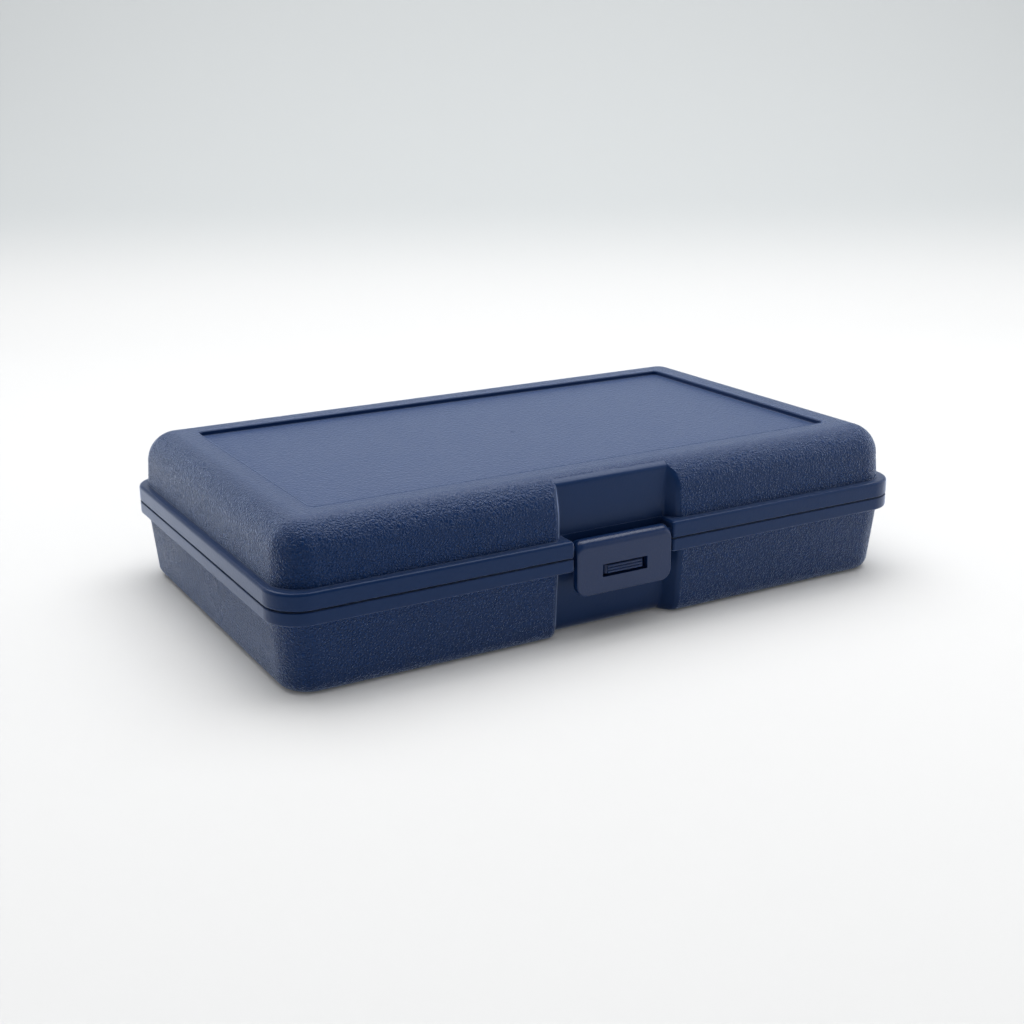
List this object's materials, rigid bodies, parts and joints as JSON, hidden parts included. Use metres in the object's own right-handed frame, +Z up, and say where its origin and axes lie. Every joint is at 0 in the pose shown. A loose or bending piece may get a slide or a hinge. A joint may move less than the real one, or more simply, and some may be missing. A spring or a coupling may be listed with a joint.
{
  "type": "pencil case",
  "caption": "Hinged two-shell moulded plastic pencil case with a recessed lid panel and a flap latch that snaps over a ribbed catch.",
  "frame": {"origin": "middle of the flat bottom face that the case rests on", "axes": "+X along the front towards its right end, +Y from the latch side to the hinges, +Z up"},
  "size_m": [0.21, 0.134, 0.0472],
  "materials": {
    "shell": "navy polypropylene, leather-like grain on the walls, fine matte grain on the panel, smooth satin rims",
    "latch": "smooth satin navy plastic",
    "catch": "smooth satin navy plastic with moulded ribs",
    "steel": "bright drawn wire"
  },
  "bodies": {
    "base": {"base_shell": "shell", "catch": "catch", "hinge_pin_left": "steel", "hinge_pin_right": "steel"},
    "lid": {"lid_shell": "shell", "latch_pin": "latch"},
    "latch": {"latch": "latch"}
  },
  "joints": [
    {"name": "lid_hinge", "type": "hinge", "parent": "base", "child": "lid", "pos_m": [0, 0.067, 0.0252], "axis": [-1, 0, 0], "range_deg": [0, 180]},
    {"name": "latch_pivot", "type": "hinge", "parent": "lid", "child": "latch", "pos_m": [0, -0.0619, 0.0272], "axis": [-1, 0, 0], "range_deg": [0, 165]}
  ]
}
